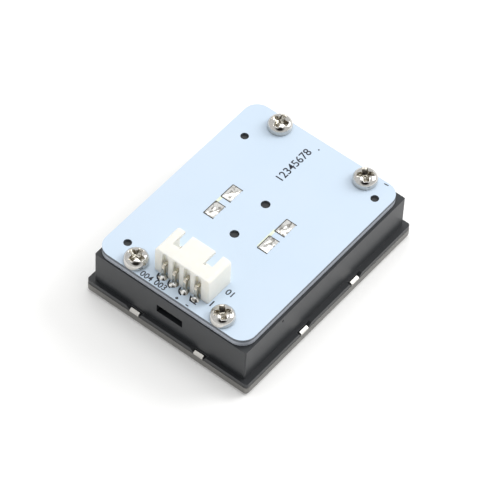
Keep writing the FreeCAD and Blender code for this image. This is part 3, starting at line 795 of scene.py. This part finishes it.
# white polyamide: matt, slightly chalky
polyamide, tree, shader, place = new_material("white_polyamide", Roughness=0.6)
chalk = add_node(tree, "TexNoise", {"Vector": place, "Scale": per_mm(0.15), "Detail": 3.0})
tone = add_node(tree, "Mix", {"Factor": chalk.outputs["Fac"], "A": linear("#dedcd6"),
                              "B": linear("#efeee9")}, data_type="RGBA")
tree.links.new(tone.outputs["Result"], shader.inputs["Base Color"])
dress(polyamide, *["led_body_%d" % i for i in range(1, 5)])

# phosphor in silicone: glossy yellow gel with grains of about 0.05 mm
phosphor, tree, shader, place = new_material("phosphor_silicone", IOR=1.42, Roughness=0.15)
grains = add_node(tree, "TexNoise", {"Vector": place, "Scale": per_mm(0.05), "Detail": 2.0})
tone = add_node(tree, "Mix", {"Factor": grains.outputs["Fac"], "A": linear("#d9c044"),
                              "B": linear("#efdf7a")}, data_type="RGBA")
tree.links.new(tone.outputs["Result"], shader.inputs["Base Color"])
dress(phosphor, *["led_lens_%d" % i for i in range(1, 5)])

# glazed alumina: smooth black glass over white ceramic, slightly orange-peeled
glaze, tree, shader, place = new_material("resistor_glaze", Roughness=0.2)
peel = add_node(tree, "TexNoise", {"Vector": place, "Scale": per_mm(0.3), "Detail": 2.0})
tone = add_node(tree, "Mix", {"Factor": peel.outputs["Fac"], "A": linear("#151618"),
                              "B": linear("#232528")}, data_type="RGBA")
bumps = add_node(tree, "Bump", {"Height": peel.outputs["Fac"], "Strength": 0.2,
                                "Distance": 0.01 * MM})
tree.links.new(tone.outputs["Result"], shader.inputs["Base Color"])
tree.links.new(bumps.outputs["Normal"], shader.inputs["Normal"])
dress(glaze, "resistor_1", "resistor_2")

# --- Board screws ------------------------------------------------------------------------------
# Four nickel-plated pan-head screws with a cross recess. The recess is punched cold, so its edges
# are slightly rolled, and its faces carry painted shade: a darker, browner tone.

# nickel plate: mirror-bright with a warm cast, tool marks and fine handling scratches
nickel, tree, shader, place = new_material("nickel_plate", Metallic=1.0)
marks_noise = add_node(tree, "TexNoise", {"Vector": place, "Scale": per_mm(0.35), "Detail": 4.0})
tone = add_node(tree, "Mix", {"Factor": marks_noise.outputs["Fac"], "A": linear("#b3b1ad"),
                              "B": linear("#dedcd8")}, data_type="RGBA")
satin = add_node(tree, "MapRange", {"Value": marks_noise.outputs["Fac"], "To Min": 0.06,
                                    "To Max": 0.2})
dings = add_node(tree, "Bump", {"Height": marks_noise.outputs["Fac"], "Strength": 0.15,
                                "Distance": 0.02 * MM})
tree.links.new(tone.outputs["Result"], shader.inputs["Base Color"])
tree.links.new(satin.outputs["Result"], shader.inputs["Roughness"])
tree.links.new(dings.outputs["Normal"], shader.inputs["Normal"])

# painted shade and dark reflection: inside the recess the metal is darker, browner and streaky
recess_shade, tree, shader, place = new_material("painted_recess_shade", Metallic=1.0)
streaks = add_node(tree, "TexNoise", {"Vector": place, "Scale": per_mm(0.7), "Detail": 3.0,
                                      "Distortion": 1.5})
spread = add_node(tree, "MapRange", {"Value": streaks.outputs["Fac"], "From Min": 0.4,
                                     "From Max": 0.62})
tone = add_node(tree, "Mix", {"Factor": spread.outputs["Result"], "A": linear("#6f675a"),
                              "B": linear("#dbd7cc")}, data_type="RGBA")
satin = add_node(tree, "MapRange", {"Value": streaks.outputs["Fac"], "To Min": 0.3, "To Max": 0.12})
tree.links.new(tone.outputs["Result"], shader.inputs["Base Color"])
tree.links.new(satin.outputs["Result"], shader.inputs["Roughness"])

HEAD_EDGE = 0.42
RECESS = 1.3
ARM_REACH, ARM_HALF = 1.72, 0.5
ARM_DEPTH, ARM_SLOPE = 0.8, 1.25
WALL = 0.1
CONE_RADIUS, CONE_SLOPE = 1.0, 0.8
SHANK, TIP = 1.1, 0.3
CREASE = 50


def crown(r, radius, head_z, top_z):
    """The height of the head's top at a distance from its axis: a superellipse of power 2.5."""
    rise = top_z - head_z - HEAD_EDGE
    return head_z + HEAD_EDGE + rise * (1 - np.clip(r / radius, 0, 1) ** 2.5) ** (1 / 2.5)


def screw_shell(x, y, low_z, head_z, top_z, radius, turn):
    """A screw as rings from the middle of its recess out over the head and down to the tip. The
    recess is the deepest, at each point, of two crossed arms and a cone where they meet. An arm's
    floor slopes up to its end, and its walls are smooth steps a tenth of a millimetre wide."""
    angle = np.linspace(0, 2 * np.pi, 144, endpoint=False)
    inner = np.linspace(0.02, ARM_REACH + 0.1, 34)
    outer = np.linspace(ARM_REACH + 0.16, radius * 0.97, 6)
    edge = radius * np.array([0.985, 0.994, 1.0])
    r = np.concatenate([inner, outer, edge])[:, None]
    across = r * np.cos(angle + turn)
    along = r * np.sin(angle + turn)
    depth = np.zeros_like(across)
    for arm, beside in ((across, along), (along, across)):
        arm_floor = ARM_DEPTH * np.clip((ARM_REACH - np.abs(arm)) / ARM_SLOPE, 0, 1)
        wall = smooth_step((ARM_HALF + WALL / 2 - np.abs(beside)) / WALL)
        depth = np.maximum(depth, arm_floor * wall)
    cone = np.clip((CONE_RADIUS - r) / CONE_SLOPE, 0, 1) + 0 * across
    depth = np.maximum(depth, cone)
    z = crown(r, radius, head_z, top_z) - RECESS * depth
    side_r = np.array([radius, radius * 0.99, radius * 0.97, SHANK, SHANK, SHANK, TIP])
    side_z = np.array([head_z + HEAD_EDGE * 0.5, head_z + 0.06, head_z, head_z, head_z - 1.6,
                       low_z + SHANK, low_z])
    r = np.vstack([r, side_r[:, None]])
    z = np.vstack([z, side_z[:, None] + 0 * angle])
    return np.stack([x + r * np.cos(angle), y + r * np.sin(angle), z], -1)


# faces this far under the head's top, within the arms' reach, take the painted recess shade
SUNK_DEPTH, SUNK_MARGIN = 0.06, 0.05
TURNS = (43, 2, 46, -8)
for number, turn in enumerate(TURNS, 1):
    node = "board_screw_%d" % number
    low, high = [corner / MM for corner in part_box(node)]
    x, y = (low.x + high.x) / 2, (low.y + high.y) / 2
    radius = (high.x - low.x) / 2
    rings = screw_shell(x, y, low.z, board_back, high.z, radius, math.radians(turn))
    screw = skin("pan_head_screw_%d" % number, [rings], nickel, crease=CREASE)
    # the second material slot is the painted recess shade
    screw.data.materials.append(recess_shade)
    centres = np.empty(len(screw.data.polygons) * 3)
    screw.data.polygons.foreach_get("center", centres)
    centres = centres.reshape(-1, 3) / MM
    r = np.hypot(centres[:, 0] - x, centres[:, 1] - y)
    below_top = crown(r, radius, board_back, high.z) - centres[:, 2]
    sunk = (r < ARM_REACH + SUNK_MARGIN) & (below_top > SUNK_DEPTH) & (centres[:, 2] > board_back)
    screw.data.polygons.foreach_set("material_index", sunk.astype(np.int32))
    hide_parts(node)
    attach(screw, "case")
